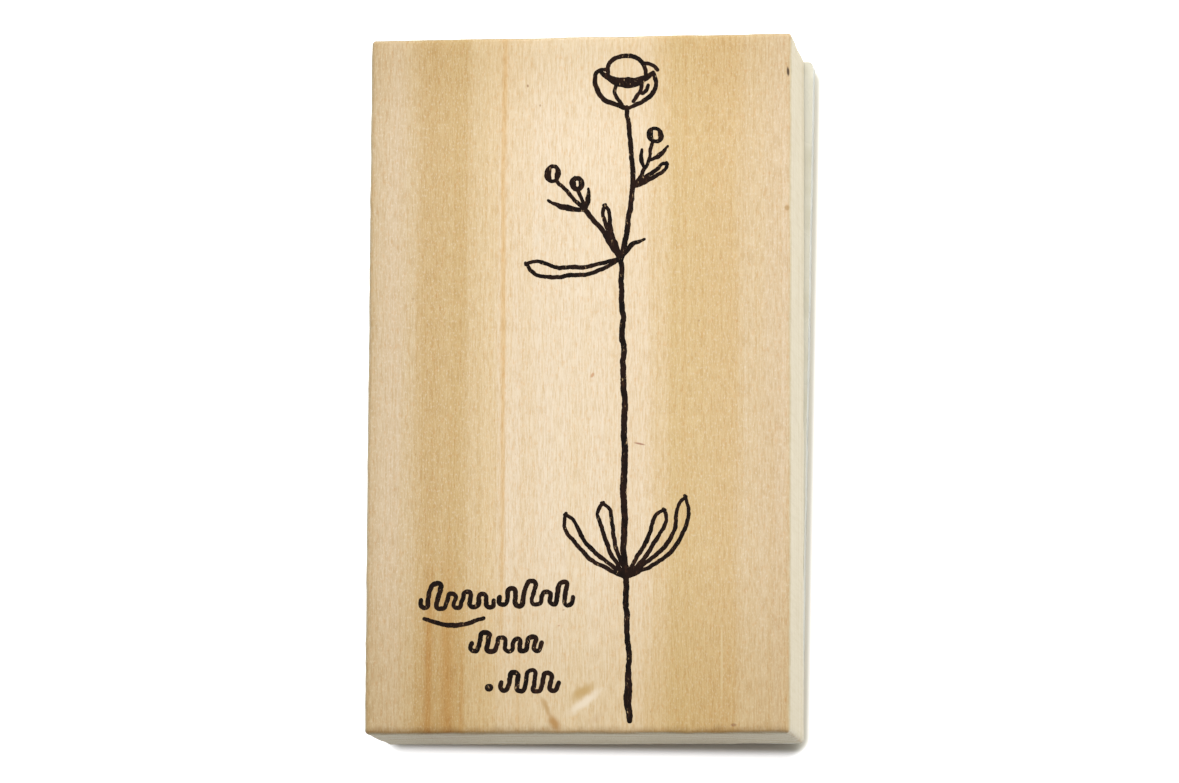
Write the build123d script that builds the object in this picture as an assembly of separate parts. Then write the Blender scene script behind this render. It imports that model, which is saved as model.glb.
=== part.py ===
from build123d import *
import os

# A wood-mounted rubber stamp. It stands on its printing face.
# +Z is up, +Y runs along the block towards the flower, and +X is across it.
# The origin is under the block's centre, on the plane of the printing face.

# Wood block
BLOCK_WIDTH = 57.15
BLOCK_LENGTH = 94.2
BLOCK_HEIGHT = 20.0
BLOCK_EASING = 0.6          # radius that wear and sanding leave on every edge

# The layers under the block, from the paper up
RELIEF_HEIGHT = 1.0         # how far the drawing stands out of the rubber sheet
SHEET_THICKNESS = 1.2       # rubber sheet behind the relief
FILM_THICKNESS = 0.1        # each film of adhesive
FOAM_THICKNESS = 3.0
INK_DEPTH = 0.05            # how far the ink soaks into the wood

SHEET_BOTTOM = RELIEF_HEIGHT
LOWER_FILM_BOTTOM = SHEET_BOTTOM + SHEET_THICKNESS
FOAM_BOTTOM = LOWER_FILM_BOTTOM + FILM_THICKNESS
UPPER_FILM_BOTTOM = FOAM_BOTTOM + FOAM_THICKNESS
BLOCK_BOTTOM = UPPER_FILM_BOTTOM + FILM_THICKNESS
BLOCK_TOP = BLOCK_BOTTOM + BLOCK_HEIGHT

# The cushion was cut with scissors and stuck on a little askew
PAD_WIDTH = 57.0
PAD_LENGTH = 93.6
PAD_CORNER = 0.7
PAD_SHIFT = (0.42, 0.4)
PAD_TURN = -1.0             # degrees, clockwise from above
DIE_WIDTH = 54.2            # the rubber is trimmed a little inside the cushion
DIE_LENGTH = 92.8
DIE_CORNER = 3.0

# The drawing, in mm from the block's centre
STEM_FOOT = (7.1, -45.3)
WHORL = (6.5, -26.2)        # where the lower leaves leave the stem
FORK = (5.7, 16.6)          # where the side branch leaves the stem
BLOOM_BASE = (6.4, 37.3)
FINE, MEDIUM, BOLD = 0.46, 0.62, 1.5   # pen widths
ROW_PEN = 0.56              # pen width of the written rows
PEN_STEP = 0.81             # half a turn along a written row, for a turn of no height
PEN_SPREAD = 0.13           # how much wider each half turn is for each mm of its height
PEN_TURN = 0.44             # radius of its turns
PEN_SLANT = 0.22            # how far a turn leans for each mm of its height
PEN_END = 1.0               # length of a row's first and last run
TIP_OVERLAP = 0.12          # how far a leaf's two edges pass each other at its tip


def ribbon(points, start_width, middle_width, end_width):
    """A pen stroke: a smooth line through the points, with round ends and a width that changes along it."""
    line = Spline(*points)
    stations = 4 * (len(points) - 1) + 1
    left, right = [], []
    for i in range(stations):
        t = i / (stations - 1)
        if t < 0.5:
            width = start_width + (middle_width - start_width) * 2 * t
        else:
            width = middle_width + (end_width - middle_width) * (2 * t - 1)
        centre, along = line @ t, (line % t).normalized()
        across = Vector(-along.Y, along.X, 0) * (width / 2)
        left.append(centre + across)
        right.append(centre - across)
    start_tip = line @ 0 - (line % 0).normalized() * (start_width / 2)
    end_tip = line @ 1 + (line % 1).normalized() * (end_width / 2)
    outline = [
        Spline(*left),
        ThreePointArc(left[-1], end_tip, right[-1]),
        Spline(*reversed(right)),
        ThreePointArc(right[0], start_tip, left[0]),
    ]
    return make_face(outline)


def leaf(base, tip, half_width, bow, pen):
    """The two edges of a strap leaf with a round tip. A positive bow bends it to the left of its own direction."""
    run = Vector(*tip) - Vector(*base)
    across = Vector(-run.Y, run.X, 0).normalized()
    edges = []
    for side in (1, -1):
        near = Vector(*base) + run * 0.3 + across * (bow * 0.75 + side * half_width * 0.7)
        far = Vector(*base) + run * 0.7 + across * (bow * 0.85 + side * half_width)
        shoulder = Vector(*base) + run * 0.94 + across * (bow * 0.26 + side * half_width * 0.85)
        end = Vector(*tip) - across * (side * TIP_OVERLAP)
        edges.append(ribbon([Vector(*base), near, far, shoulder, end], pen, pen * 1.2, pen * 0.9))
    return edges


def bud(centre, radius, pen):
    """A round bud: a ring with two curved seams across it."""
    middle = Location((centre[0], centre[1], 0))
    ring = middle * Circle(radius) - middle * Circle(radius - pen)
    seams = []
    for offset in (-0.3, 0.35):
        x = centre[0] + offset * radius
        bulge = x + 0.35 * offset * radius
        points = [(x, centre[1] - 0.8 * radius), (bulge, centre[1]), (x, centre[1] + 0.8 * radius)]
        seams.append(ribbon(points, pen * 0.6, pen * 0.8, pen * 0.6))
    return [ring, *seams]


def dark_leaf(base, tip, width, bow):
    """A small leaf drawn solid, as one stroke that swells in its middle."""
    run = Vector(*tip) - Vector(*base)
    across = Vector(-run.Y, run.X, 0).normalized()
    middle = Vector(*base) + run * 0.5 + across * bow
    return ribbon([Vector(*base), middle, Vector(*tip)], FINE * 0.7, width, FINE * 0.6)


def stem_strokes():
    """The main stem in two runs. Its foot is a point, and it thins under the bloom."""
    lower = [STEM_FOOT, (6.9, -36.0), WHORL, (6.25, -8.0), (6.0, 6.0), FORK]
    upper = [FORK, (6.5, 20.4), (7.1, 26.5), (6.9, 31.5), BLOOM_BASE]
    heel = [STEM_FOOT, (7.0, -42.6), (6.9, -39.0)]
    return [ribbon(lower, 0.6, 0.85, 0.65), ribbon(heel, 0.7, 1.05, 0.8), ribbon(upper, 0.7, 0.65, 0.55)]


def bloom_strokes():
    """A cup-shaped meadow flower seen from the side, dark inside its cup."""
    left_petal = [(6.0, 37.3), (3.3, 38.6), (2.0, 40.3), (2.3, 42.2), (3.7, 42.3)]
    right_petal = [(6.8, 37.2), (9.1, 38.5), (10.2, 40.2), (9.8, 42.0)]
    rim = [(2.9, 42.0), (4.4, 41.0), (6.3, 40.6), (8.2, 41.0), (9.8, 42.0)]
    back_petal = [(3.9, 41.4), (4.1, 43.1), (5.3, 44.1), (7.3, 44.1), (8.5, 43.1), (8.8, 41.4)]
    left_seam = [(4.9, 40.7), (4.8, 39.3), (5.7, 37.7)]
    right_seam = [(8.3, 40.7), (8.2, 39.5), (7.3, 38.1)]
    loose_petal = [(8.4, 43.2), (9.5, 43.1), (10.5, 42.3)]
    return [
        ribbon(left_petal, MEDIUM, MEDIUM, FINE),
        ribbon(right_petal, FINE, MEDIUM, FINE),
        ribbon(rim, FINE, BOLD, FINE),
        ribbon(back_petal, FINE, MEDIUM, FINE),
        ribbon(left_seam, FINE, FINE, FINE),
        ribbon(right_seam, FINE, FINE, FINE),
        ribbon(loose_petal, FINE, FINE, FINE),
        ribbon([(9.1, 40.4), (8.9, 39.7), (8.5, 39.2)], FINE, FINE, FINE),
    ]


def whorl_strokes():
    """Four narrow leaves that leave the stem at one level."""
    return [
        *leaf(WHORL, (-1.6, -17.6), 0.62, 1.3, FINE),
        *leaf(WHORL, (3.3, -16.1), 0.7, 0.5, FINE),
        *leaf(WHORL, (11.5, -17.2), 0.62, -0.6, FINE),
        *leaf(WHORL, (14.4, -15.3), 0.7, -2.4, FINE),
    ]


def branch_strokes():
    """The side branch with two buds, the long leaf under it, and the small leaves at the fork."""
    stalk = [FORK, (3.5, 20.0), (0.9, 23.6)]
    twig_left = [(0.9, 23.6), (-1.2, 25.2), (-2.9, 27.4)]
    twig_right = [(0.9, 23.6), (0.6, 24.8), (-0.1, 25.9)]
    return [
        ribbon(stalk, 0.8, MEDIUM, MEDIUM),
        ribbon(twig_left, MEDIUM, FINE, FINE),
        ribbon(twig_right, MEDIUM, FINE, FINE),
        *bud((-3.6, 28.3), 1.15, FINE),
        *bud((-0.4, 26.9), 1.05, MEDIUM),
        dark_leaf((1.1, 23.4), (-4.2, 24.8), 0.85, 0.5),
        dark_leaf((1.0, 23.5), (1.2, 26.3), 0.7, -0.3),
        *leaf(FORK, (-7.2, 16.1), 0.68, 1.4, FINE),
        dark_leaf((5.9, 16.9), (8.7, 19.4), 0.7, 0.3),
        *leaf(FORK, (3.4, 24.0), 0.3, 0.3, FINE),
    ]


def side_bud_strokes():
    """The single bud on the right of the stem, with the leaves at its foot."""
    foot = (7.1, 26.5)
    return [
        ribbon([foot, (9.0, 28.9), (9.9, 32.2)], MEDIUM, FINE, FINE),
        *bud((10.2, 33.4), 1.1, FINE),
        *leaf(foot, (11.8, 29.6), 0.4, -0.5, FINE),
        dark_leaf((8.9, 28.7), (8.5, 31.4), 0.6, 0.2),
        dark_leaf((9.4, 29.9), (11.9, 32.0), 0.65, -0.2),
    ]


def pen_row(x_start, y_low, heights):
    """A row of slanted up-and-down pen turns, which spells nothing. Taller turns are wider too."""
    points = [(x_start - PEN_END + PEN_SLANT, y_low + 1.0), (x_start - PEN_END, y_low)]
    x = x_start
    for height in heights:
        lean = height * PEN_SLANT
        step = PEN_STEP + PEN_SPREAD * height
        points.append((x, y_low))
        points.append((x + lean, y_low + height))
        points.append((x + lean + step, y_low + height))
        points.append((x + step, y_low))
        x += 2 * step
    points.append((x - step + PEN_END, y_low))
    points.append((x - step + PEN_END + PEN_SLANT, y_low + 1.0))
    path = FilletPolyline(*points, radius=PEN_TURN)
    return make_face(offset(path, amount=ROW_PEN / 2, side=Side.BOTH).edges())


def written_strokes():
    """Three short rows of pen turns at the lower left, with an underline and a dot."""
    underline = [(-20.6, -31.6), (-17.2, -32.6), (-12.6, -31.5)]
    return [
        pen_row(-20.2, -30.1, (3.3, 1.9, 2.1, 1.8)),
        pen_row(-9.6, -29.8, (2.1, 3.2, 1.9, 3.0)),
        pen_row(-13.3, -36.0, (2.7, 1.9, 1.7, 2.0)),
        ribbon(underline, FINE, MEDIUM, FINE),
        Location((-11.6, -40.9, 0)) * Circle(0.5),
        pen_row(-9.4, -41.3, (2.5, 2.7, 2.4)),
    ]


def drawing():
    """The whole picture as flat faces, with every crossing merged."""
    strokes = [
        *stem_strokes(),
        *bloom_strokes(),
        *whorl_strokes(),
        *branch_strokes(),
        *side_bud_strokes(),
        *written_strokes(),
    ]
    faces = []
    for stroke in strokes:
        faces.extend(stroke.faces())
    return Sketch() + faces


def pad_place(z):
    """Where the cushion's layers sit: shifted and turned on the block."""
    return Location((PAD_SHIFT[0], PAD_SHIFT[1], z), (0, 0, PAD_TURN))


def make_index_print(picture):
    """The printed picture, flush with the top of the block."""
    return extrude(Pos(0, 0, BLOCK_TOP - INK_DEPTH) * picture, amount=INK_DEPTH)


def make_wood_block(ink):
    """The block, without the wood that the ink fills."""
    block = Pos(0, 0, BLOCK_BOTTOM) * Box(
        BLOCK_WIDTH, BLOCK_LENGTH, BLOCK_HEIGHT, align=(Align.CENTER, Align.CENTER, Align.MIN)
    )
    return fillet(block.edges(), BLOCK_EASING) - ink


def make_cushion_layer(z, thickness):
    return extrude(pad_place(z) * RectangleRounded(PAD_WIDTH, PAD_LENGTH, PAD_CORNER), amount=thickness)


def make_die_layer(z, thickness):
    return extrude(pad_place(z) * RectangleRounded(DIE_WIDTH, DIE_LENGTH, DIE_CORNER), amount=thickness)


def make_rubber_die(picture):
    """The sheet and the raised drawing, moulded in one. The relief runs a little into the sheet to merge with it."""
    sheet = make_die_layer(SHEET_BOTTOM, SHEET_THICKNESS)
    relief = extrude(picture, amount=RELIEF_HEIGHT + SHEET_THICKNESS / 2)
    return sheet + relief


def main():
    os.makedirs("parts", exist_ok=True)
    picture = drawing()
    ink = make_index_print(picture)
    nodes = {
        "wood_block": make_wood_block(ink),
        "index_print": ink,
        "upper_adhesive": make_cushion_layer(UPPER_FILM_BOTTOM, FILM_THICKNESS),
        "foam_cushion": make_cushion_layer(FOAM_BOTTOM, FOAM_THICKNESS),
        "lower_adhesive": make_die_layer(LOWER_FILM_BOTTOM, FILM_THICKNESS),
        "rubber_die": make_rubber_die(picture),
    }
    for name, solid in nodes.items():
        export_step(solid, f"parts/{name}.step")
        print(name, round(solid.volume, 1), "mm3,", len(solid.solids()), "solids")


main()
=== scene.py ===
"""The looks of a wood-mounted rubber stamp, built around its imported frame. Lengths are in metres."""

import math

import bmesh
import bpy
import numpy as np
from mathutils import Matrix, Vector, noise
from mathutils.geometry import delaunay_2d_cdt


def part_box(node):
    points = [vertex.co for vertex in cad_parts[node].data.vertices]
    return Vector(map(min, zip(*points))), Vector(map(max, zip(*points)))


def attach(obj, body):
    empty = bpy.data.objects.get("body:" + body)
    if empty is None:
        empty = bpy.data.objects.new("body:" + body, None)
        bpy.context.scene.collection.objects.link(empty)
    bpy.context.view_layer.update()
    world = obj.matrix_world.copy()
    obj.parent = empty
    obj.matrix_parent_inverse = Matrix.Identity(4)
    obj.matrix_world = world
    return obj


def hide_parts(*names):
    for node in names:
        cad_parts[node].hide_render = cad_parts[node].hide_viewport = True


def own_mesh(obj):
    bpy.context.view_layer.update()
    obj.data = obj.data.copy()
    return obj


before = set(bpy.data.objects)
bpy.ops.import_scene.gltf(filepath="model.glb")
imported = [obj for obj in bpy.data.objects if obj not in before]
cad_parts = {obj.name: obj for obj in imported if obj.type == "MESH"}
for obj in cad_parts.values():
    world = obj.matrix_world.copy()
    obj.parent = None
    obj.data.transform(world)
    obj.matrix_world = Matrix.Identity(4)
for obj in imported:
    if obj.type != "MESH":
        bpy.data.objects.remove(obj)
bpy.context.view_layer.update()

MM = 0.001
BLOCK_LOW, BLOCK_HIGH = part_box("wood_block")
FOAM_LOW, FOAM_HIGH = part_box("foam_cushion")
INK_LOW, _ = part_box("index_print")
TOP = BLOCK_HIGH.z

# The cushion, as it was cut and stuck on
PAD_SIZE = (57.0 * MM, 93.6 * MM)
PAD_CORNER = 0.7 * MM
PAD_SHIFT = Vector((0.42, 0.4, 0)) * MM
PAD_TURN = math.radians(-1.0)

BLOCK_EASING = 0.6 * MM             # radius of the block's edges
INK_PROUD = 0.012 * MM              # how far the ink stands above the wood

# The studio
CAMERA_PLACE = (0.1016, -0.1019, 0.8152)
CAMERA_TILT = (7.25, 7.18, 0.33)    # degrees about X, Y and Z
CAMERA_LENS = 183.2                 # mm
SENSOR_WIDTH = 36.0                 # mm
TABLE_SIZE = 12.0
WORLD_LIGHT = 0.3
STUDIO_GAIN = 1.65                  # how much brighter the studio light makes a level surface than its colour

# The table glows white, except close to the cushion, where the glow fades out and the card is darkened as a
# painted shadow
GLOW_REACH = 1.8 * MM               # how far from the cushion the glow is at its full strength
GLOW_STRENGTH = 0.8
SHADE_REACH = 1.1 * MM              # how far from the cushion the card is darkened as a painted shadow
SHADE_CORNER = 1.5 * MM             # radius of the painted shadow's corners
SHADE_SHIFT = Vector((0, -0.45, 0)) * MM   # the painted shadow lies a little to the cushion's front

# The tree's heart as X and Z under the block, and the usual width of a growth ring, in millimetres
HEART = (-3.0, -24.0)
RING_GAP = 2.6

# The drawing, in millimetres from the block's centre
STEM_FOOT = (7.1, -45.3)
WHORL = (6.5, -26.2)   # where the lower leaves leave the stem
FORK = (5.7, 16.6)     # where the side branch leaves the stem
BLOOM_BASE = (6.4, 37.3)
FINE, MEDIUM, BOLD = 0.46, 0.62, 1.5   # pen widths
ROW_PEN = 0.56        # pen width of the written rows
PEN_STEP = 0.81       # half a turn along a written row, for a turn of no height
PEN_SPREAD = 0.13     # how much wider each half turn is for each mm of its height
PEN_TURN = 0.44       # radius of its turns
PEN_SLANT = 0.22      # how far a turn leans for each mm of its height
PEN_END = 1.0         # length of a row's first and last run
TIP_OVERLAP = 0.12    # how far a leaf's two edges pass each other at its tip
INK_SPREAD = 0.035    # how far the ink creeps out from the edge of a stroke
INK_RAGGED = 0.07     # how far that edge wanders on the bare wood


# ---------------------------------------------------------------- pen strokes


def smooth_line(points, step=0.12):
    """Evenly spaced points on a natural cubic spline through the given ones."""
    p = np.array([tuple(q)[:2] for q in points], float)
    if len(p) == 2:
        p = np.array([p[0], (p[0] + p[1]) / 2, p[1]])
    knots = np.concatenate([[0], np.cumsum(np.linalg.norm(np.diff(p, axis=0), axis=1))])
    gaps = np.diff(knots)
    n = len(p)
    system, right = np.eye(n), np.zeros((n, 2))
    for i in range(1, n - 1):
        system[i, i - 1 : i + 2] = gaps[i - 1], 2 * (gaps[i - 1] + gaps[i]), gaps[i]
        right[i] = 6 * ((p[i + 1] - p[i]) / gaps[i] - (p[i] - p[i - 1]) / gaps[i - 1])
    bend = np.linalg.solve(system, right)
    at = np.linspace(0, knots[-1], max(6, int(knots[-1] / step)))
    i = np.clip(np.searchsorted(knots, at, side="right") - 1, 0, n - 2)
    h, a, b = gaps[i], (knots[i + 1] - at) / gaps[i], (at - knots[i]) / gaps[i]
    bend_before = (a**3 - a) * h**2 / 6
    bend_after = (b**3 - b) * h**2 / 6
    chord = a[:, None] * p[i] + b[:, None] * p[i + 1]
    return chord + bend_before[:, None] * bend[i] + bend_after[:, None] * bend[i + 1]


def rounded_line(points, radius, step=0.1):
    """A polyline whose corners are arcs, as evenly spaced points."""
    p = [Vector(q) for q in points]
    path = [p[0]]
    for before, corner, after in zip(p, p[1:], p[2:]):
        back, on = (before - corner).normalized(), (after - corner).normalized()
        half = back.angle(on) / 2
        reach = radius / math.tan(half)
        middle = corner + (back + on).normalized() * (radius / math.sin(half))
        start, end = corner + back * reach, corner + on * reach
        swing = (start - middle).angle_signed(end - middle)
        for k in range(9):
            path.append(middle + Matrix.Rotation(-swing * k / 8, 2) @ (start - middle))
    path.append(p[-1])
    p = np.array([tuple(q) for q in path])
    along = np.concatenate([[0], np.cumsum(np.linalg.norm(np.diff(p, axis=0), axis=1))])
    at = np.linspace(0, along[-1], int(along[-1] / step))
    return np.stack([np.interp(at, along, p[:, 0]), np.interp(at, along, p[:, 1])], axis=1)


def wobble(line):
    """The line as an unsteady hand draws it. The shift depends on the place alone, so strokes still meet."""
    shifts = []
    for x, y in line:
        shift = []
        for layer in (1.0, 21.0):
            slow = noise.noise(Vector((x * 0.38, y * 0.38, layer)))
            quick = noise.noise(Vector((x * 1.3, y * 1.3, layer + 5.0)))
            shift.append(0.28 * slow + 0.09 * quick)
        shifts.append(shift)
    return line + np.array(shifts)


def pen_outline(line, widths):
    """The closed outline of a pen line with round ends and ragged edges."""
    line = wobble(line)
    along = np.gradient(line, axis=0)
    along /= np.linalg.norm(along, axis=1)[:, None]
    across = np.stack([-along[:, 1], along[:, 0]], axis=1)
    half = np.interp(np.linspace(0, 1, len(line)), np.linspace(0, 1, len(widths)), widths) / 2 + INK_SPREAD
    sides = []
    for side in (1, -1):
        wander = [
            0.8 * noise.noise(Vector((x * 1.1, y * 1.1, 3.0 * side)))
            + 0.7 * noise.noise(Vector((x * 3.3, y * 3.3, 7.0 * side)))
            for x, y in line
        ]
        sides.append(line + side * across * (half + INK_RAGGED * np.array(wander))[:, None])
    cap_angles = np.linspace(math.pi / 2, -math.pi / 2, 7)[1:-1]
    end_cap = [line[-1] + half[-1] * (math.cos(t) * along[-1] + math.sin(t) * across[-1]) for t in cap_angles]
    start_cap = [line[0] - half[0] * (math.cos(t) * along[0] + math.sin(t) * across[0]) for t in cap_angles]
    return np.concatenate([sides[0], end_cap, sides[1][::-1], start_cap])


def ribbon(points, *widths):
    """A pen stroke: its smooth line and the widths along it, as drawing() lists them."""
    return smooth_line(points), widths


def leaf(base, tip, half_width, bow, pen):
    """The two edges of a strap leaf with a round tip. A positive bow bends it to its own left."""
    base, tip = Vector(base), Vector(tip)
    run = tip - base
    across = Vector((-run.y, run.x)).normalized()
    edges = []
    for side in (1, -1):
        near = base + run * 0.3 + across * (bow * 0.75 + side * half_width * 0.7)
        far = base + run * 0.7 + across * (bow * 0.85 + side * half_width)
        shoulder = base + run * 0.94 + across * (bow * 0.26 + side * half_width * 0.85)
        end = tip - across * (side * TIP_OVERLAP)
        edges.append(ribbon([base, near, far, shoulder, end], pen, pen * 1.2, pen * 0.9))
    return edges


def dark_leaf(base, tip, width, bow):
    """A small leaf drawn solid, as one stroke that swells in its middle."""
    base, tip = Vector(base), Vector(tip)
    run = tip - base
    middle = base + run * 0.5 + Vector((-run.y, run.x)).normalized() * bow
    return ribbon([base, middle, tip], FINE * 0.7, width, FINE * 0.6)


def bud(centre, radius, pen):
    """A round bud: a ring with two curved seams across it."""
    middle_radius = radius - pen / 2
    strokes = []
    for start in (0.3, 0.3 + math.pi):
        turn = np.linspace(start, start + 1.02 * math.pi, 30)
        arc = np.stack([np.cos(turn), np.sin(turn)], axis=1) * middle_radius + centre
        strokes.append((arc, (pen, pen)))
    for offset in (-0.3, 0.35):
        x = centre[0] + offset * radius
        bulge = x + 0.35 * offset * radius
        points = [(x, centre[1] - 0.8 * radius), (bulge, centre[1]), (x, centre[1] + 0.8 * radius)]
        strokes.append(ribbon(points, pen * 0.6, pen * 0.8, pen * 0.6))
    return strokes


def dot(centre, radius):
    """A pen touch: a stroke that hardly moves."""
    line = np.array([[centre[0] + shift, centre[1]] for shift in (-0.05, 0, 0.05)])
    return line, (2 * radius, 2 * radius)


def pen_row(x_start, y_low, heights):
    """A row of slanted up-and-down pen turns, which spells nothing. Taller turns are wider too."""
    points = [(x_start - PEN_END + PEN_SLANT, y_low + 1.0), (x_start - PEN_END, y_low)]
    x = x_start
    for height in heights:
        lean = height * PEN_SLANT
        step = PEN_STEP + PEN_SPREAD * height
        points.append((x, y_low))
        points.append((x + lean, y_low + height))
        points.append((x + lean + step, y_low + height))
        points.append((x + step, y_low))
        x += 2 * step
    points.append((x - step + PEN_END, y_low))
    points.append((x - step + PEN_END + PEN_SLANT, y_low + 1.0))
    return rounded_line(points, PEN_TURN), (ROW_PEN, ROW_PEN * 1.15, ROW_PEN * 0.9, ROW_PEN * 1.1, ROW_PEN)


def drawing():
    """Every pen stroke of the picture, as (line, widths)."""
    stem = [
        ribbon([STEM_FOOT, (6.9, -36.0), WHORL, (6.25, -8.0), (6.0, 6.0), FORK], 0.6, 0.85, 0.65),
        ribbon([STEM_FOOT, (7.0, -42.6), (6.9, -39.0)], 0.7, 1.05, 0.8),
        ribbon([FORK, (6.5, 20.4), (7.1, 26.5), (6.9, 31.5), BLOOM_BASE], 0.7, 0.65, 0.55),
    ]
    bloom = [
        ribbon([(6.0, 37.3), (3.3, 38.6), (2.0, 40.3), (2.3, 42.2), (3.7, 42.3)], MEDIUM, MEDIUM, FINE),
        ribbon([(6.8, 37.2), (9.1, 38.5), (10.2, 40.2), (9.8, 42.0)], FINE, MEDIUM, FINE),
        ribbon([(2.9, 42.0), (4.4, 41.0), (6.3, 40.6), (8.2, 41.0), (9.8, 42.0)], FINE, BOLD, FINE),
        ribbon(
            [(3.9, 41.4), (4.1, 43.1), (5.3, 44.1), (7.3, 44.1), (8.5, 43.1), (8.8, 41.4)],
            FINE, MEDIUM, FINE,
        ),
        ribbon([(4.9, 40.7), (4.8, 39.3), (5.7, 37.7)], FINE, FINE, FINE),
        ribbon([(8.3, 40.7), (8.2, 39.5), (7.3, 38.1)], FINE, FINE, FINE),
        ribbon([(8.4, 43.2), (9.5, 43.1), (10.5, 42.3)], FINE, FINE, FINE),
        ribbon([(9.1, 40.4), (8.9, 39.7), (8.5, 39.2)], FINE, FINE, FINE),
    ]
    whorl = [
        *leaf(WHORL, (-1.6, -17.6), 0.62, 1.3, FINE),
        *leaf(WHORL, (3.3, -16.1), 0.7, 0.5, FINE),
        *leaf(WHORL, (11.5, -17.2), 0.62, -0.6, FINE),
        *leaf(WHORL, (14.4, -15.3), 0.7, -2.4, FINE),
    ]
    branch = [
        ribbon([FORK, (3.5, 20.0), (0.9, 23.6)], 0.8, MEDIUM, MEDIUM),
        ribbon([(0.9, 23.6), (-1.2, 25.2), (-2.9, 27.4)], MEDIUM, FINE, FINE),
        ribbon([(0.9, 23.6), (0.6, 24.8), (-0.1, 25.9)], MEDIUM, FINE, FINE),
        *bud((-3.6, 28.3), 1.15, FINE),
        *bud((-0.4, 26.9), 1.05, MEDIUM),
        dark_leaf((1.1, 23.4), (-4.2, 24.8), 0.85, 0.5),
        dark_leaf((1.0, 23.5), (1.2, 26.3), 0.7, -0.3),
        *leaf(FORK, (-7.2, 16.1), 0.68, 1.4, FINE),
        dark_leaf((5.9, 16.9), (8.7, 19.4), 0.7, 0.3),
        *leaf(FORK, (3.4, 24.0), 0.3, 0.3, FINE),
    ]
    side_foot = (7.1, 26.5)
    side_bud = [
        ribbon([side_foot, (9.0, 28.9), (9.9, 32.2)], MEDIUM, FINE, FINE),
        *bud((10.2, 33.4), 1.1, FINE),
        *leaf(side_foot, (11.8, 29.6), 0.4, -0.5, FINE),
        dark_leaf((8.9, 28.7), (8.5, 31.4), 0.6, 0.2),
        dark_leaf((9.4, 29.9), (11.9, 32.0), 0.65, -0.2),
    ]
    written = [
        pen_row(-20.2, -30.1, (3.3, 1.9, 2.1, 1.8)),
        pen_row(-9.6, -29.8, (2.1, 3.2, 1.9, 3.0)),
        pen_row(-13.3, -36.0, (2.7, 1.9, 1.7, 2.0)),
        ribbon([(-20.6, -31.6), (-17.2, -32.6), (-12.6, -31.5)], FINE, MEDIUM, FINE),
        dot((-11.6, -40.9), 0.5),
        pen_row(-9.4, -41.3, (2.5, 2.7, 2.4)),
    ]
    return [*stem, *bloom, *whorl, *branch, *side_bud, *written]


def merged(outlines):
    """The flat union of closed outlines, as points and triangles."""
    points, faces = [], []
    for outline in outlines:
        faces.append(list(range(len(points), len(points) + len(outline))))
        points.extend(Vector(p) for p in outline[::-1])  # counterclockwise, as the triangulation needs
    flat, _, triangles, _, _, sources = delaunay_2d_cdt(points, [], faces, 0, 1e-6, True)
    kept = [t for t, source in zip(triangles, sources) if source]
    return flat, kept


# ---------------------------------------------------------------- meshes


def add_object(name, mesh):
    piece = bpy.data.objects.new(name, mesh)
    bpy.context.collection.objects.link(piece)
    return piece


def from_bmesh(name, bm, smooth=True):
    bmesh.ops.recalc_face_normals(bm, faces=bm.faces)
    mesh = bpy.data.meshes.new(name)
    bm.to_mesh(mesh)
    bm.free()
    if smooth:
        mesh.shade_smooth()
    return add_object(name, mesh)


def ink_film(name, outlines, z_low, z_high):
    """A thin closed film with the outlines' merged shape."""
    flat, triangles = merged(outlines)
    bm = bmesh.new()
    top = [bm.verts.new((p.x * MM, p.y * MM, z_high)) for p in flat]
    faces = [bm.faces.new([top[i] for i in t]) for t in triangles]
    for vert in [v for v in bm.verts if not v.link_faces]:
        bm.verts.remove(vert)
    lower = bmesh.ops.extrude_face_region(bm, geom=faces)["geom"]
    for vert in (v for v in lower if isinstance(v, bmesh.types.BMVert)):
        vert.co.z = z_low
    return from_bmesh(name, bm, smooth=False)


def axis_lines(half, radius, step):
    """Places along an axis from -half to half: four across each rounded edge, then even steps."""
    inner = half - radius
    edge = [inner + radius * math.tan(math.radians(a)) for a in (11.25, 22.5, 33.75, 45)]
    count = max(2, round(2 * inner / step))
    middle = [-inner + 2 * inner * i / count for i in range(count + 1)]
    return [-e for e in reversed(edge)] + middle + edge


def rounded_block(size, radius, step):
    """A bmesh box with rounded edges and an even grid on each face, centred on the origin."""
    half = Vector(size) / 2
    lines = [axis_lines(h, radius, step) for h in half]
    bm = bmesh.new()
    for axis in range(3):
        u, v = (axis + 1) % 3, (axis + 2) % 3
        for side in (-1, 1):
            grid = []
            for a in lines[u]:
                row = []
                for b in lines[v]:
                    place = Vector((0, 0, 0))
                    place[axis], place[u], place[v] = side * half[axis], a, b
                    row.append(bm.verts.new(place))
                grid.append(row)
            for i in range(len(grid) - 1):
                for j in range(len(grid[0]) - 1):
                    bm.faces.new((grid[i][j], grid[i + 1][j], grid[i + 1][j + 1], grid[i][j + 1]))
    bmesh.ops.remove_doubles(bm, verts=bm.verts, dist=radius * 0.01)
    for vert in bm.verts:
        core = Vector(max(-h + radius, min(h - radius, c)) for c, h in zip(vert.co, half))
        vert.co = core + (vert.co - core).normalized() * radius
    return bm


# ---------------------------------------------------------------- material graphs


def srgb(red, green, blue):
    """A colour from its usual 0 to 255 values, as Blender's linear one."""
    linear = []
    for value in (red, green, blue):
        c = value / 255
        linear.append(c / 12.92 if c <= 0.04045 else ((c + 0.055) / 1.055) ** 2.4)
    return (*linear, 1.0)


def lit(red, green, blue):
    """The colour of a surface that looks like this one under the studio's bright light."""
    return (*(c / STUDIO_GAIN for c in srgb(red, green, blue)[:3]), 1.0)


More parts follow.
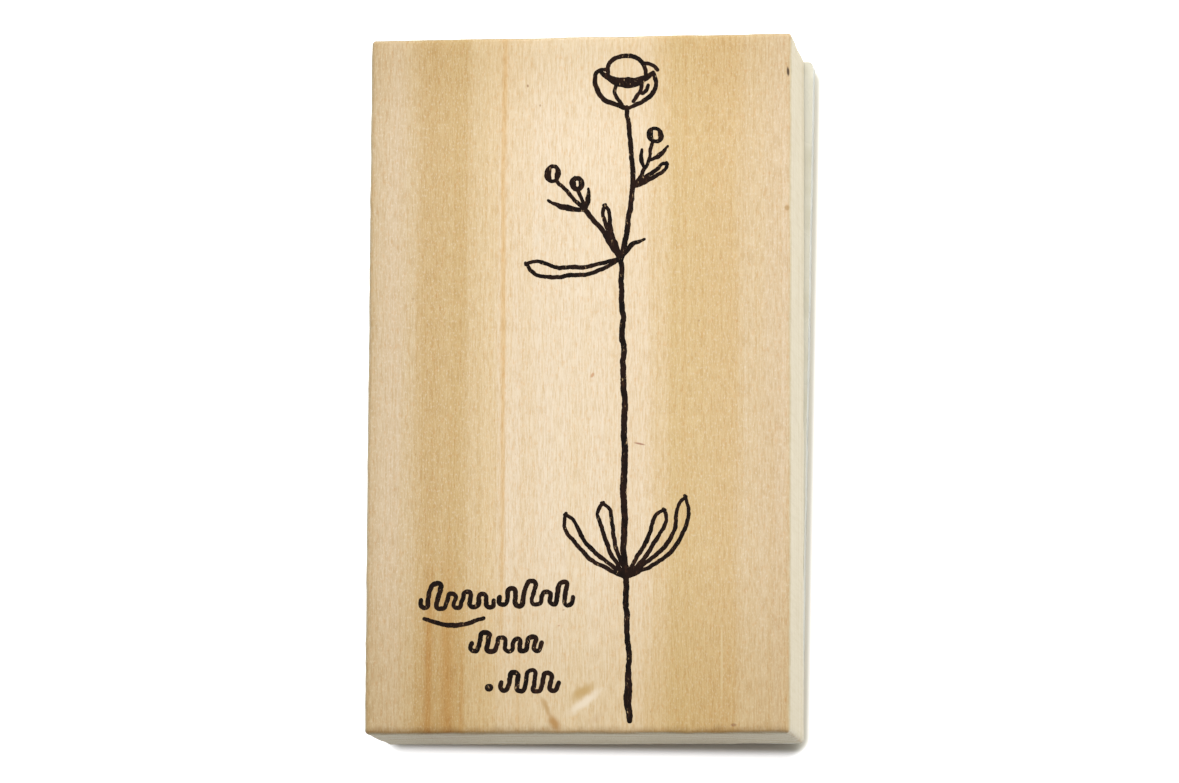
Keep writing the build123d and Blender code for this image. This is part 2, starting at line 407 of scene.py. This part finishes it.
class Graph:
    """A material's nodes, with one short call for each kind used here. Texture space is in millimetres."""

    def __init__(self, name, roughness, **sockets):
        self.material = bpy.data.materials.new(name)
        self.material.use_nodes = True
        self.tree = self.material.node_tree
        self.shader = self.tree.nodes["Principled BSDF"]
        self.shader.inputs["Roughness"].default_value = roughness
        for socket, value in sockets.items():
            self.shader.inputs[socket.replace("_", " ")].default_value = value
        place = self.node("ShaderNodeTexCoord").outputs["Object"]
        self.place = self.vector("MULTIPLY", place, (1 / MM,) * 3)
        self.x, self.y, self.z = self.node("ShaderNodeSeparateXYZ", Vector=self.place).outputs

    def node(self, kind, **inputs):
        """A new node with its inputs set or linked. An underscore in a name stands for a space."""
        made = self.tree.nodes.new(kind)
        for name, value in inputs.items():
            self.put(made.inputs[name.replace("_", " ")], value)
        return made

    def put(self, socket, value):
        """Links the socket to another one, or sets it to a constant."""
        if isinstance(value, bpy.types.NodeSocket):
            self.tree.links.new(value, socket)
        else:
            socket.default_value = value

    def set(self, socket, value):
        self.put(self.shader.inputs[socket], value)

    def vector(self, operation, a, b):
        made = self.node("ShaderNodeVectorMath")
        made.operation = operation
        self.put(made.inputs[0], a)
        self.put(made.inputs[1], b)
        return made.outputs["Vector"]

    def math(self, operation, a, b=0.0):
        made = self.node("ShaderNodeMath")
        made.operation = operation
        self.put(made.inputs[0], a)
        self.put(made.inputs[1], b)
        return made.outputs[0]

    def noise(self, stretch, detail, roughness=0.5, shift=(0, 0, 0)):
        """Noise from 0 to 1. The stretch is how many features there are to a millimetre, along each axis."""
        place = self.vector("ADD", self.vector("MULTIPLY", self.place, stretch), shift)
        made = self.node("ShaderNodeTexNoise", Vector=place, Scale=1.0, Detail=detail, Roughness=roughness)
        return made.outputs["Fac"]

    def spread_linear(self, value, low, high):
        """The value between low and high as a number from 0 to 1, in proportion."""
        made = self.node("ShaderNodeMapRange", Value=value)
        made.inputs["From Min"].default_value = low
        made.inputs["From Max"].default_value = high
        return made.outputs["Result"]

    def spread(self, value, low, high, to_low=0.0, to_high=1.0):
        """The value between low and high, eased, as a number between to_low and to_high."""
        made = self.node("ShaderNodeMapRange", Value=value)
        made.interpolation_type = "SMOOTHSTEP"
        for name, number in (("From Min", low), ("From Max", high), ("To Min", to_low), ("To Max", to_high)):
            made.inputs[name].default_value = number
        return made.outputs["Result"]

    def ramp(self, value, stops):
        """A colour for each value from 0 to 1, eased from stop to stop."""
        made = self.node("ShaderNodeValToRGB", Fac=value)
        made.color_ramp.interpolation = "EASE"
        elements = made.color_ramp.elements
        while len(elements) < len(stops):
            elements.new(0.5)
        for element, (position, _) in zip(elements, stops):
            element.position = position
        for element, (_, colour) in zip(elements, stops):
            element.color = colour
        return made.outputs["Color"]

    def mix(self, factor, a, b, blend="MIX"):
        """A mix of two colours. Its sockets go by identifier, because they share their names."""
        made = self.tree.nodes.new("ShaderNodeMix")
        made.data_type = "RGBA"
        made.blend_type = blend
        for name, value in (("Factor_Float", factor), ("A_Color", a), ("B_Color", b)):
            self.put(next(s for s in made.inputs if s.identifier == name), value)
        return next(s for s in made.outputs if s.identifier == "Result_Color")

    def length(self, a, b):
        """The length of a line that reaches a across and b along."""
        return self.math("SQRT", self.math("ADD", self.math("POWER", a, 2.0), self.math("POWER", b, 2.0)))

    def tint(self, colour, factor, multiplier):
        """The colour multiplied by another one, as far as the factor says."""
        return self.mix(factor, colour, (*multiplier, 1.0), "MULTIPLY")

    def spot(self, centre, size, turn=0.0, soft=0.5, wander=0.0):
        """1 inside an ellipse on the XY plane, fading to 0 at its rim. Sizes are its half lengths in mm."""
        place = self.place
        if wander:
            shift = self.node("ShaderNodeTexNoise", Vector=place, Scale=0.6, Detail=2.0).outputs["Color"]
            shift = self.vector("MULTIPLY", self.vector("SUBTRACT", shift, (0.5,) * 3), (wander,) * 3)
            place = self.vector("ADD", place, shift)
        made = self.node("ShaderNodeMapping", Vector=place)
        made.vector_type = "TEXTURE"
        made.inputs["Location"].default_value = (*centre, 0)
        made.inputs["Rotation"].default_value = (0, 0, math.radians(turn))
        made.inputs["Scale"].default_value = (*size, 1000)
        length = self.node("ShaderNodeVectorMath", Vector=made.outputs["Vector"])
        length.operation = "LENGTH"
        return self.spread(length.outputs["Value"], 1.0, 1.0 - soft)

    def bump(self, height, strength, distance):
        """Adds to the surface's relief. The distance is in metres."""
        made = self.node("ShaderNodeBump", Height=height, Strength=strength, Distance=distance)
        normal = self.shader.inputs["Normal"]
        if normal.links:
            self.put(made.inputs["Normal"], normal.links[0].from_socket)
        self.put(normal, made.outputs["Normal"])


# ---------------------------------------------------------------- materials


# The bands of heartwood and sapwood across the top of the block: the place in mm and the colour
BANDS = [
    (-28.6, lit(225, 202, 165)), (-25.0, lit(231, 209, 176)), (-23.0, lit(228, 204, 163)),
    (-21.0, lit(220, 190, 137)), (-16.4, lit(222, 192, 137)), (-14.0, lit(235, 210, 166)),
    (-12.0, lit(241, 217, 176)), (-9.8, lit(248, 228, 198)), (0.0, lit(252, 234, 207)),
    (8.6, lit(250, 230, 200)), (10.8, lit(241, 216, 173)), (13.4, lit(232, 204, 150)),
    (20.4, lit(230, 200, 147)), (22.6, lit(235, 211, 171)), (28.6, lit(233, 210, 176)),
]

# Resin lines along the block: the place and width, where they begin and end along it in mm, and the strength.
# One is thin and runs down most of the block, and the darkest are at the lower left.
RESIN_LINES = [
    (-10.2, 0.34, -36, 60, 0.75),
    (-19.9, 0.7, -60, -24, 1.0),
    (-17.4, 0.95, -60, -22, 0.9),
    (-15.4, 0.4, -60, -30, 0.7),
    (-7.9, 0.2, -60, -20, 0.3),
    (14.2, 0.4, -30, 60, 0.25),
]

# The foot of a knot at the near end, as streaks of darker and paler wood that spread in a V. Each streak has
# its centre and half lengths in mm, its turn in degrees, its colour and its strength. The palest is brighter
# than white, because the painted shade at the near end darkens it.
KNOT = [
    ((-3.0, -45.6), (1.9, 1.0), -60, lit(206, 162, 102), 1.0),
    ((-4.1, -43.5), (2.2, 0.55), -62, lit(212, 176, 122), 0.85),
    ((0.9, -41.4), (2.7, 1.15), 34, lit(218, 184, 124), 0.95),
    ((1.1, -42.8), (3.9, 0.85), 36, lit(262, 249, 234), 1.0),
    ((2.7, -45.0), (1.6, 0.9), 30, lit(226, 196, 160), 0.4),
]

# Marks of use on the top, in the same form: a nick, a scratch, specks and faint dents
MARKS = [
    ((28.1, 41.8), (0.24, 0.85), 4, lit(90, 68, 44), 1.0),
    ((28.0, 23.3), (0.45, 0.5), 0, lit(188, 150, 92), 0.8),
    ((8.3, -8.3), (1.0, 0.17), -12, lit(160, 92, 66), 0.75),
    ((-7.1, 40.4), (0.2, 0.28), 10, lit(158, 116, 72), 0.7),
    ((-5.4, 37.7), (0.16, 0.22), 0, lit(160, 120, 78), 0.6),
    ((-5.6, 19.4), (1.5, 0.7), 60, lit(247, 232, 206), 0.4),
    ((-3.2, 14.1), (0.5, 1.2), 10, lit(247, 232, 206), 0.4),
    ((1.9, 1.0), (0.5, 0.28), 60, lit(212, 158, 110), 0.8),
    ((1.5, 1.9), (0.9, 0.25), 70, lit(250, 236, 212), 0.6),
    ((-22.5, 11.6), (0.3, 0.18), 0, lit(170, 130, 88), 0.4),
    ((16.2, 8.2), (0.2, 0.2), 0, lit(176, 134, 88), 0.5),
    ((-1.8, -30.5), (0.25, 0.16), 20, lit(176, 138, 98), 0.5),
    ((-2.4, -32.6), (0.2, 0.14), 0, lit(186, 120, 90), 0.5),
    ((19.4, -37.6), (0.22, 7.0), 0, lit(236, 214, 170), 0.7),
    ((21.0, -45.9), (0.5, 0.3), 0, lit(150, 96, 66), 0.6),
]


def band_colour(g, half, waver):
    """Bands that run along the block. They drift a little, and lean as they go down through the wood."""
    drift = g.math("MULTIPLY", g.math("SUBTRACT", g.noise((0.02, 0.010, 0.02), 2.0), 0.5), 3.0)
    lean = g.math("MULTIPLY", g.math("SUBTRACT", g.z, TOP / MM), -0.16)
    across = g.math("ADD", g.math("ADD", g.math("ADD", g.x, drift), waver), lean)
    stops = [((x + half) / 2 / half, tone) for x, tone in BANDS]
    return g.ramp(g.spread_linear(across, -half, half), stops)


def with_fibres(g, colour, fine, fibre):
    """Growth lines, wide and fine, then fibres, flecks and pores, all drawn out along the block."""
    broad = g.noise((0.5, 0.010, 0.5), 4.0, 0.6, shift=(0, 3, 9))
    colour = g.tint(colour, g.spread(broad, 0.45, 0.7, 0.0, 0.8), (0.97, 0.94, 0.86))
    colour = g.tint(colour, g.spread(fine, 0.62, 0.3, 0.0, 0.6), (0.93, 0.87, 0.74))
    colour = g.tint(colour, g.spread(fibre, 0.62, 0.3, 0.0, 1.0), (0.85, 0.78, 0.66))
    fleck = g.noise((5.2, 2.4, 5.2), 2.0, 0.6, shift=(3, 8, 1))
    colour = g.mix(g.spread(fleck, 0.5, 0.74, 0.0, 0.4), colour, lit(255, 240, 216))
    warm = g.noise((3.1, 1.3, 3.1), 2.0, 0.6, shift=(9, 2, 4))
    colour = g.tint(colour, g.spread(warm, 0.5, 0.75, 0.0, 0.8), (0.97, 0.86, 0.74))
    pores = g.noise((6.5, 1.3, 6.5), 2.0, 0.5, shift=(1, 6, 2))
    return g.tint(colour, g.spread(pores, 0.70, 0.80, 0.0, 0.75), (0.62, 0.50, 0.36))


def with_resin(g, colour, waver, fine):
    """Thin lines of resin, which waver with the grain and fade at their ends."""
    strayed = g.math("ADD", g.x, g.math("MULTIPLY", waver, 0.5))
    for place, width, low, high, strength in RESIN_LINES:
        away = g.math("ABSOLUTE", g.math("SUBTRACT", strayed, place))
        mask = g.math("MULTIPLY", g.spread(away, width * 1.6, 0.0), g.spread(g.y, low - 2, low + 8))
        mask = g.math("MULTIPLY", mask, g.spread(g.y, high + 4, high - 12))
        mask = g.math("MULTIPLY", mask, g.spread(fine, 0.2, 0.6, 0.5, 1.0))
        colour = g.tint(colour, g.math("MULTIPLY", mask, strength), (0.88, 0.70, 0.40))
    return colour


def with_knot_and_marks(g, colour):
    """The knot goes down through the wood, but the marks of use are on the top only."""
    for centre, size, turn, tone, strength in KNOT:
        mask = g.spot(centre, size, turn, soft=0.85, wander=0.7)
        colour = g.mix(g.math("MULTIPLY", mask, strength), colour, tone)
    on_top = g.spread(g.z, TOP / MM - 0.9, TOP / MM - 0.5)
    for centre, size, turn, tone, strength in MARKS:
        mask = g.math("MULTIPLY", g.spot(centre, size, turn, soft=0.6), on_top)
        colour = g.mix(g.math("MULTIPLY", mask, strength), colour, tone)
    return colour


def with_handling_and_painted_falloff(g, colour, half):
    """The near end is darkened as painted shade, where the studio light falls off, and the far end is a
    little darker too. Handled edges are browner, most of all the near one.
    """
    # Painted shade: the top darkens towards the near end, where the studio light falls off
    painted_falloff = g.spread(g.y, -20.0, BLOCK_LOW.y / MM, 0.0, 1.0)
    colour = g.tint(colour, painted_falloff, (0.88, 0.83, 0.70))
    far_end = g.spread(g.y, 32.0, BLOCK_HIGH.y / MM, 0.0, 1.0)
    colour = g.tint(colour, far_end, (0.90, 0.87, 0.79))
    grime = g.math("ADD", g.math("MULTIPLY", g.noise((0.5, 0.5, 0.5), 4.0, 0.7), 1.6), -0.8)
    near_edge = g.spread(g.math("ADD", g.y, grime), BLOCK_LOW.y / MM + 1.3, BLOCK_LOW.y / MM + 0.2)
    colour = g.tint(colour, g.math("MULTIPLY", near_edge, 0.9), (0.66, 0.58, 0.46))
    side_reach = g.math("ADD", g.math("ABSOLUTE", g.x), grime)
    return g.tint(colour, g.spread(side_reach, half - 0.9, half, 0.0, 0.6), (0.90, 0.86, 0.76))


def growth_rings(g, waver):
    """Late wood in rings round the tree's heart: arcs on the block's ends, lines along its sides."""
    radius = g.length(g.math("SUBTRACT", g.x, HEART[0]), g.math("SUBTRACT", g.z, HEART[1]))
    uneven = g.math("MULTIPLY", g.math("SINE", g.math("MULTIPLY", radius, 0.47)), 0.9)
    rings = g.math("ADD", g.math("ADD", radius, uneven), g.math("MULTIPLY", waver, 0.25))
    return g.spread(g.math("FRACT", g.math("DIVIDE", rings, RING_GAP)), 0.3, 0.95)


def end_grain_with_painted_shade(g, colour, late_wood, cells, soil):
    """The wood of the two ends, with its rings and open cells. Its grey cast is painted shade, the dim cool
    look of an end turned away from the light.
    """
    # Painted shade: the ends are mixed towards a dim grey
    colour = g.mix(0.6, colour, lit(197, 201, 181))
    colour = g.tint(colour, g.math("MULTIPLY", late_wood, 0.75), (0.80, 0.70, 0.55))
    colour = g.tint(colour, g.spread(cells, 0.56, 0.3, 0.0, 0.9), (0.70, 0.62, 0.50))
    return g.tint(colour, g.spread(soil, 0.45, 0.7, 0.0, 0.5), (0.84, 0.80, 0.74))


def sawn_side_with_painted_reflection(g, colour, late_wood, saw, soil):
    """The wood of the long sides, with faint saw lines. Its pale grey-green is partly sanded wood and partly
    a painted reflection of the white surroundings.
    """
    # Partly painted reflection: the sides are mixed towards a pale grey-green
    colour = g.mix(0.6, colour, lit(228, 227, 203))
    colour = g.tint(colour, g.math("MULTIPLY", late_wood, 0.5), (0.90, 0.84, 0.72))
    colour = g.tint(colour, g.spread(saw, 0.55, 0.35, 0.0, 0.5), (0.90, 0.87, 0.80))
    return g.tint(colour, g.spread(soil, 0.5, 0.7, 0.0, 0.4), (0.90, 0.86, 0.80))


def wood_material():
    """Planed softwood: bands, grain, resin, a knot and marks on the top, end grain, and sawn sides. The near
    end of the top is darkened by painted shade, the ends hold a painted grey shade, and the sides are partly
    a painted pale reflection.
    """
    g = Graph("planed_softwood", 0.62, Specular_IOR_Level=0.35)
    half = (BLOCK_HIGH.x - BLOCK_LOW.x) / 2 / MM
    waver = g.math("MULTIPLY", g.math("SUBTRACT", g.noise((0.9, 0.03, 0.9), 3.0, shift=(5, 0, 0)), 0.5), 2.4)
    fine = g.noise((2.2, 0.025, 2.2), 4.0, 0.65)
    fibre = g.noise((5.0, 0.45, 5.0), 3.0, 0.7)
    colour = band_colour(g, half, waver)
    colour = with_fibres(g, colour, fine, fibre)
    colour = with_resin(g, colour, waver, fine)
    colour = with_knot_and_marks(g, colour)
    colour = with_handling_and_painted_falloff(g, colour, half)

    # Which face of the block this is, by the way it faces
    normal = g.node("ShaderNodeNewGeometry").outputs["Normal"]
    facing = g.node("ShaderNodeSeparateXYZ", Vector=normal).outputs
    end = g.spread(g.math("ABSOLUTE", facing["Y"]), 0.55, 0.9)
    side = g.spread(g.math("ABSOLUTE", facing["X"]), 0.55, 0.9)
    late_wood = growth_rings(g, waver)
    cells = g.noise((5.0, 0.4, 5.0), 3.0, 0.8, shift=(2, 2, 2))
    saw = g.noise((0.2, 2.2, 0.15), 3.0, 0.6, shift=(7, 1, 3))
    soil = g.noise((0.09, 0.09, 0.14), 4.0, 0.6, shift=(4, 4, 4))
    colour = g.mix(end, colour, end_grain_with_painted_shade(g, colour, late_wood, cells, soil))
    colour = g.mix(side, colour, sawn_side_with_painted_reflection(g, colour, late_wood, saw, soil))
    g.set("Base Color", colour)

    g.set("Roughness", g.spread(fibre, 0.2, 0.8, 0.72, 0.54))
    g.bump(fine, 0.25, 0.00008)
    g.bump(fibre, 0.35, 0.00005)
    g.bump(g.math("MULTIPLY", saw, side), 0.35, 0.00012)
    g.bump(g.math("MULTIPLY", cells, end), 0.5, 0.00012)
    return g.material


def ink_material():
    """Dry brown-black ink on bare wood. It is thin and broken in places, where the wood shows through."""
    g = Graph("index_ink", 0.75, Specular_IOR_Level=0.08)
    tone = g.noise((0.35, 0.35, 0.35), 3.0)
    colour = g.mix(g.spread(tone, 0.35, 0.65), lit(16, 8, 5), lit(38, 21, 14))
    grain = g.noise((3.4, 1.0, 3.4), 3.0, 0.7)
    colour = g.mix(g.spread(grain, 0.54, 0.70, 0.0, 0.55), colour, lit(80, 50, 32))
    gaps = g.noise((2.4, 0.8, 2.4), 4.0, 0.75, shift=(4, 1, 0))
    colour = g.mix(g.spread(gaps, 0.62, 0.68, 0.0, 0.9), colour, lit(206, 172, 128))
    g.set("Base Color", colour)
    g.bump(grain, 0.3, 0.00004)
    return g.material


def foam_material():
    """Pale closed-cell foam: fine round cells, and a slight drag where the scissors cut it."""
    g = Graph("cushion_foam", 0.85, Specular_IOR_Level=0.2, Sheen_Weight=0.15)
    cells = g.node("ShaderNodeTexVoronoi", Vector=g.place, Scale=2.6)
    drag = g.noise((0.5, 0.5, 6.0), 3.0, 0.6)
    blotch = g.noise((0.12, 0.12, 0.3), 3.0)
    colour = g.mix(g.spread(blotch, 0.3, 0.7), lit(208, 209, 197), lit(220, 221, 211))
    colour = g.mix(g.spread(cells.outputs["Distance"], 0.1, 0.55, 0.3, 0.0), colour, lit(182, 184, 168))
    colour = g.mix(g.spread(drag, 0.35, 0.7, 0.0, 0.25), colour, lit(190, 191, 175))
    g.set("Base Color", colour)
    g.bump(cells.outputs["Distance"], 0.55, 0.00012)
    g.bump(drag, 0.35, 0.0001)
    return g.material


def film_material():
    """Clear adhesive film, gone slightly yellow."""
    g = Graph("adhesive_film", 0.28, Coat_Weight=0.3)
    haze = g.noise((0.25, 0.25, 1.0), 3.0)
    g.set("Base Color", g.mix(g.spread(haze, 0.3, 0.7), lit(230, 227, 210), lit(216, 211, 188)))
    g.set("Roughness", g.spread(haze, 0.3, 0.7, 0.22, 0.42))
    return g.material


def rubber_material():
    """Moulded red rubber. The raised lines are stained dark by ink."""
    g = Graph("die_rubber", 0.55, Specular_IOR_Level=0.4)
    bloom = g.noise((0.08, 0.08, 0.2), 4.0, 0.6)
    colour = g.mix(g.spread(bloom, 0.3, 0.7), lit(176, 74, 58), lit(196, 92, 72))
    speckle = g.noise((2.5, 2.5, 2.5), 3.0, 0.7)
    colour = g.mix(g.spread(speckle, 0.55, 0.75, 0.0, 0.25), colour, lit(222, 134, 112))
    blot = g.spread(g.noise((0.6, 0.6, 0.6), 4.0), 0.3, 0.6, 0.6, 0.95)
    stain = g.math("MULTIPLY", g.spread(g.z, 0.55, 0.1), blot)
    colour = g.mix(stain, colour, lit(62, 30, 26))
    g.set("Base Color", colour)
    g.set("Roughness", g.spread(speckle, 0.3, 0.7, 0.62, 0.48))
    g.bump(speckle, 0.3, 0.00005)
    return g.material


def floor_material():
    """White card on a lit table, which glows. Close to the cushion the glow fades out and the card's colour
    is darkened: a painted shadow.
    """
    g = Graph("glowing_card_with_painted_shadow", 0.9, Specular_IOR_Level=0.1)
    from_pad = g.node("ShaderNodeMapping", Vector=g.place)
    from_pad.vector_type = "TEXTURE"
    from_pad.inputs["Location"].default_value = (PAD_SHIFT + SHADE_SHIFT) / MM
    from_pad.inputs["Rotation"].default_value = (0, 0, PAD_TURN)
    along = g.node("ShaderNodeSeparateXYZ", Vector=from_pad.outputs["Vector"]).outputs
    outside = []
    for place, size in zip(along, PAD_SIZE):
        beyond = g.math("SUBTRACT", g.math("ABSOLUTE", place), (size / 2 - SHADE_CORNER) / MM)
        outside.append(g.math("MAXIMUM", beyond, 0.0))
    distance = g.math("SUBTRACT", g.length(*outside), SHADE_CORNER / MM)
    card = g.mix(g.noise((0.02, 0.02, 0.02), 2.0), (0.86, 0.86, 0.86, 1), (0.88, 0.88, 0.88, 1))
    # Painted shadow: the card is a yellowish grey close to the cushion, fading to its white further out
    painted_shadow = g.spread(distance, 0.0, SHADE_REACH / MM)
    g.set("Base Color", g.mix(painted_shadow, (0.55, 0.535, 0.455, 1), card))
    g.set("Emission Color", (1.0, 1.0, 1.0, 1.0))
    # Painted shadow: the glow fades out close to the cushion
    g.set("Emission Strength", g.spread(distance, 0.0, GLOW_REACH / MM, 0.0, GLOW_STRENGTH))
    return g.material


# ---------------------------------------------------------------- pieces


def dress(name, material):
    """Gives a CAD node that is shown as it is the material."""
    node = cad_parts[name]
    node.data.materials.clear()
    node.data.materials.append(material)


# Shallow dents in the top, each with its place, radius and depth in mm
DENTS = [
    ((-5.6, 19.6), 1.6, 0.05),
    ((-3.3, 14.2), 1.4, 0.04),
    ((1.9, 1.0), 0.9, 0.05),
    ((12.5, -2.0), 2.6, 0.03),
    ((-18.0, 30.0), 2.2, 0.03),
    ((28.4, 41.8), 1.0, 0.14),
]


def wear_edges(bm, half):
    """Rubs the eased edges down a little more, unevenly, as sanding and handling do."""
    deepest = 0.16 * MM
    for vert in bm.verts:
        out = [abs(c) - (h - BLOCK_EASING) for c, h in zip(vert.co, half)]
        on_edge = sorted(out)[1] / BLOCK_EASING
        if on_edge <= -2.5:
            continue
        wear = 0.5 + 0.9 * noise.noise(vert.co / MM * 0.16) + 0.5 * noise.noise(vert.co / MM * 0.7)
        ease = max(0.0, min(1.0, (on_edge + 0.9) / 1.6))
        inward = Vector(-math.copysign(max(0.0, o / BLOCK_EASING + 0.6), c) for o, c in zip(out, vert.co))
        if inward.length > 0:
            vert.co += inward.normalized() * max(0.0, wear) * ease * deepest


def press_dents(bm):
    """Sinks the dents into the top."""
    for vert in bm.verts:
        if vert.co.z <= TOP - BLOCK_EASING:
            continue
        for (x, y), size, depth in DENTS:
            away = math.hypot(vert.co.x / MM - x, vert.co.y / MM - y) / size
            if away < 1:
                vert.co.z -= depth * MM * (1 - away * away) ** 2


def make_wood():
    """The block, with edges eased unevenly by sanding and handling, and a few shallow dents."""
    bm = rounded_block(BLOCK_HIGH - BLOCK_LOW, BLOCK_EASING, 0.9 * MM)
    wear_edges(bm, (BLOCK_HIGH - BLOCK_LOW) / 2)
    bmesh.ops.translate(bm, verts=bm.verts, vec=(BLOCK_HIGH + BLOCK_LOW) / 2)
    press_dents(bm)
    block = from_bmesh("wood_block_worn", bm)
    block.data.materials.append(wood_material())
    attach(block, "handle")
    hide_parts("wood_block")


def make_ink():
    """The printed picture, a film of ink that follows the top of the block."""
    outlines = [pen_outline(line, widths) for line, widths in drawing()]
    ink = ink_film("index_print_ink", outlines, INK_LOW.z, TOP + INK_PROUD)
    ink.data.materials.append(ink_material())
    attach(ink, "handle")
    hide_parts("index_print")


def cut_outline(size, corner, step, wander):
    """A rounded rectangle's outline, counterclockwise, with the slight waver of a cut made by hand."""
    points = []
    half_x, half_y = size[0] / 2 - corner, size[1] / 2 - corner
    corners = [(half_x, half_y, 0), (-half_x, half_y, 90), (-half_x, -half_y, 180), (half_x, -half_y, 270)]
    for x, y, start in corners:
        for k in range(7):
            turn = math.radians(start + 15 * k)
            points.append(Vector((x + corner * math.cos(turn), y + corner * math.sin(turn))))
    path = []
    for here, then in zip(points, points[1:] + points[:1]):
        count = max(1, round((then - here).length / step))
        path.extend(here.lerp(then, k / count) for k in range(count))
    wavy = []
    for p in path:
        slow = noise.noise(Vector((p.x, p.y, 0)) / MM * 0.07)
        quick = noise.noise(Vector((p.x, p.y, 5)) / MM * 0.5)
        wavy.append(p * (1 + wander * (slow + 0.4 * quick) / p.length))
    return wavy


def make_foam():
    """The cushion: a sheet cut by hand, a little waisted at its cut edges where the scissors squeezed it."""
    place = Matrix.Translation(PAD_SHIFT) @ Matrix.Rotation(PAD_TURN, 4, "Z")
    outline = cut_outline(PAD_SIZE, PAD_CORNER, 0.7 * MM, 0.12 * MM)
    levels = 9
    bm = bmesh.new()
    rings = []
    for level in range(levels):
        up = level / (levels - 1)
        z = FOAM_LOW.z + up * (FOAM_HIGH.z - FOAM_LOW.z)
        ring = []
        for p in outline:
            ragged = 0.05 * noise.noise(Vector((p.x / MM * 1.7, p.y / MM * 1.7, z / MM * 2.0)))
            inset = 0.16 * 4 * up * (1 - up) + ragged
            q = p * (1 - inset * MM / p.length)
            ring.append(bm.verts.new(place @ Vector((q.x, q.y, z))))
        rings.append(ring)
    count = len(outline)
    for low, high in zip(rings, rings[1:]):
        for i in range(count):
            bm.faces.new((low[i], low[(i + 1) % count], high[(i + 1) % count], high[i]))
    bm.faces.new(rings[-1])
    bm.faces.new(reversed(rings[0]))
    bmesh.ops.triangulate(bm, faces=[f for f in bm.faces if len(f.verts) > 4])
    foam = from_bmesh("foam_cushion_cut", bm)
    foam.data.materials.append(foam_material())
    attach(foam, "handle")
    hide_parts("foam_cushion")
    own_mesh(foam)


# ---------------------------------------------------------------- floor, light and camera


def make_floor():
    """The white table that the stamp lies on."""
    bpy.ops.mesh.primitive_plane_add(size=TABLE_SIZE, location=(0, 0, 0))
    floor = bpy.context.object
    floor.name = "floor"
    floor.data.materials.append(floor_material())


def area_light(name, place, size, power, colour=(1, 1, 1)):
    """A soft rectangular lamp that points at the middle of the table."""
    light = bpy.data.lights.new(name, "AREA")
    light.shape = "RECTANGLE"
    light.size, light.size_y = size
    light.energy = power
    light.color = colour
    lamp = bpy.data.objects.new(name, light)
    lamp.location = place
    lamp.rotation_euler = (-Vector(place)).to_track_quat("-Z", "Y").to_euler()
    bpy.context.collection.objects.link(lamp)


def make_light():
    """A window behind the stamp to its right, a soft lamp overhead, and an even pale light all round."""
    world = bpy.data.worlds.new("studio")
    world.use_nodes = True
    background = world.node_tree.nodes["Background"]
    background.inputs["Color"].default_value = (1.0, 1.0, 1.0, 1)
    background.inputs["Strength"].default_value = WORLD_LIGHT
    bpy.context.scene.world = world
    bpy.context.scene.view_settings.view_transform = "Standard"
    area_light("window", (0.16, 0.36, 0.5), (0.45, 0.45), 4.95, (1.0, 0.995, 0.985))
    area_light("overhead", (0.0, 0.12, 0.9), (0.5, 0.5), 3.4)


def make_camera():
    """Nearly straight down, from the near right, through a long lens."""
    data = bpy.data.cameras.new("camera")
    data.sensor_width = SENSOR_WIDTH
    data.lens = CAMERA_LENS
    data.clip_start = 0.01
    data.clip_end = 20
    camera = bpy.data.objects.new("camera", data)
    camera.location = CAMERA_PLACE
    camera.rotation_euler = [math.radians(a) for a in CAMERA_TILT]
    bpy.context.collection.objects.link(camera)
    bpy.context.scene.camera = camera


make_camera()
make_wood()
make_ink()
make_foam()
film = film_material()
dress("upper_adhesive", film)
dress("lower_adhesive", film)
dress("rubber_die", rubber_material())
make_floor()
make_light()
